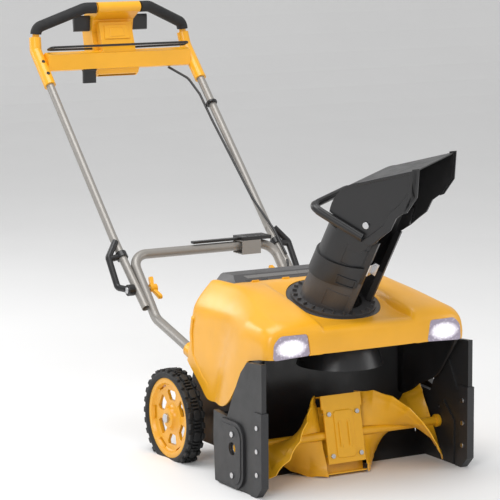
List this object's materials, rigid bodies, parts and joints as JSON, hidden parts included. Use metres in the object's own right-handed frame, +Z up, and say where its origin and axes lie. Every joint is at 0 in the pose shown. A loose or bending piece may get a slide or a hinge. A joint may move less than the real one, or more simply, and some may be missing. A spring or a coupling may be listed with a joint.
{
  "type": "walk-behind snow blower",
  "caption": "Single-stage cordless snow blower with a scroll auger, a turning chute with a tilting deflector, wheels and a folding handle.",
  "frame": {"origin": "on the ground, under the middle of the scraper bar", "axes": "+Z up, the mouth faces -Y and the handle stands at +Y, +X is the operator's right seen from the mouth's left"},
  "size_m": [0.6033, 1.4853, 1.0602],
  "materials": {
    "housing": "black moulded housing, satin",
    "panel": "black side panel, satin",
    "guard": "dark grey wear strip",
    "hood": "golden yellow moulded cover, satin gloss",
    "dark_plastic": "charcoal textured plastic",
    "black_plastic": "black satin plastic",
    "grey_plastic": "dark grey plastic",
    "lens": "clear lamp lens",
    "lamp": "white lamp module",
    "metal": "zinc plated steel",
    "tube": "silver grey painted steel tube",
    "auger_paint": "yellow painted steel, scuffed",
    "auger_rubber": "yellow rubber paddle",
    "wheel": "yellow moulded wheel",
    "tyre": "black rubber tyre",
    "belt": "black rubber belt",
    "foam": "black foam grip",
    "knob": "yellow moulded knob",
    "cable": "black cable sheath",
    "battery": "black battery case",
    "motor": "motor case"
  },
  "bodies": {
    "chassis": {"auger_housing": "housing", "side_panel_left": "panel", "side_panel_right": "panel", "edge_guard_left": "guard", "edge_guard_right": "guard", "skid_shoe_left": "guard", "skid_shoe_right": "guard", "housing_bolts": "metal", "scraper_bar": "dark_plastic", "hood": "hood", "side_vent": "grey_plastic", "lamp_lens_left": "lens", "lamp_lens_right": "lens", "lamp_modules": "lamp", "chassis_tub": "black_plastic", "battery_tray": "black_plastic", "batteries": "battery", "lid_hinge_pin": "metal", "drive_cover": "black_plastic", "drive_motor": "motor", "drive_belt": "belt", "shaft_bearings": "metal", "chute_base": "grey_plastic", "axle": "metal", "wheel_bolts": "black_plastic", "lower_frame": "tube", "frame_brackets": "hood", "tool_bracket": "tube", "harness_lower": "cable"},
    "auger": {"auger_shaft": "auger_paint", "auger_flight_left": "auger_paint", "auger_flight_right": "auger_paint", "auger_paddles": "auger_rubber", "auger_bolts": "metal", "driven_pulley": "metal"},
    "motor_rotor": {"motor_pulley": "metal"},
    "left_wheel": {"wheel_left": "wheel", "tyre_left": "tyre"},
    "right_wheel": {"wheel_right": "wheel", "tyre_right": "tyre"},
    "chute": {"chute_lower": "grey_plastic", "chute_upper": "black_plastic", "chute_latch": "metal"},
    "deflector_hood": {"deflector": "black_plastic", "deflector_bolts": "metal"},
    "handle": {"upper_tube_left": "tube", "upper_tube_right": "tube", "carry_handle_left": "black_plastic", "carry_handle_right": "black_plastic", "pivot_bolts": "metal", "console": "hood", "grips": "foam", "harness_upper": "cable"},
    "bail": {"auger_bail": "cable"},
    "trigger": {"paddle_trigger": "black_plastic"},
    "lock": {"lock_lever": "black_plastic"},
    "lid": {"battery_lid": "grey_plastic"},
    "left_knob": {"wing_knob_left": "knob"},
    "right_knob": {"wing_knob_right": "knob"},
    "scoop": {"clean_out_tool": "black_plastic"}
  },
  "joints": [
    {"name": "auger_spin", "type": "hinge", "parent": "chassis", "child": "auger", "pos_m": [0, -0.039, 0.112], "axis": [1, 0, 0], "continuous": true},
    {"name": "motor_spin", "type": "hinge", "parent": "chassis", "child": "motor_rotor", "pos_m": [0, 0.134, 0.196], "axis": [1, 0, 0], "continuous": true},
    {"name": "left_wheel_spin", "type": "hinge", "parent": "chassis", "child": "left_wheel", "pos_m": [0, 0.292, 0.118], "axis": [1, 0, 0], "continuous": true},
    {"name": "right_wheel_spin", "type": "hinge", "parent": "chassis", "child": "right_wheel", "pos_m": [0, 0.292, 0.118], "axis": [1, 0, 0], "continuous": true},
    {"name": "chute_turn", "type": "hinge", "parent": "chassis", "child": "chute", "pos_m": [0, -0.004, 0.42], "axis": [0, -0.2924, 0.9563], "range_deg": [-128, 72]},
    {"name": "deflector_tilt", "type": "hinge", "parent": "chute", "child": "deflector_hood", "pos_m": [0.04366, -0.15328, 0.62742], "axis": [0.8829, 0.449, 0.1373], "range_deg": [-10, 45]},
    {"name": "handle_fold", "type": "hinge", "parent": "chassis", "child": "handle", "pos_m": [0, 0.543, 0.385], "axis": [-1, 0, 0], "range_deg": [0, 66]},
    {"name": "bail_squeeze", "type": "hinge", "parent": "handle", "child": "bail", "pos_m": [0, 1.09927, 0.93661], "axis": [-1, 0, 0], "range_deg": [0, 35], "stiffness_Nm_per_rad": 0.8, "springref_deg": -17.19},
    {"name": "trigger_pull", "type": "hinge", "parent": "handle", "child": "trigger", "pos_m": [0, 1.11027, 1.01761], "axis": [1, 0, 0], "range_deg": [0, 20], "stiffness_Nm_per_rad": 0.6, "springref_deg": -17.19},
    {"name": "lock_flip", "type": "hinge", "parent": "handle", "child": "lock", "pos_m": [0, 1.06027, 0.88561], "axis": [1, 0, 0], "range_deg": [-25, 0]},
    {"name": "lid_open", "type": "hinge", "parent": "chassis", "child": "lid", "pos_m": [0, 0.136, 0.448], "axis": [1, 0, 0], "range_deg": [0, 85]},
    {"name": "left_knob_turn", "type": "hinge", "parent": "handle", "child": "left_knob", "pos_m": [-0.18, 0.543, 0.385], "axis": [1, 0, 0], "continuous": true},
    {"name": "right_knob_turn", "type": "hinge", "parent": "handle", "child": "right_knob", "pos_m": [0.18, 0.543, 0.385], "axis": [1, 0, 0], "continuous": true},
    {"name": "scoop_slide", "type": "slide", "parent": "chassis", "child": "scoop", "axis": [-1, 0, 0], "range_m": [0, 0.09]}
  ],
  "couplings": [
    {"joint": "motor_spin", "follows": "auger_spin", "ratio": 2.875}
  ]
}
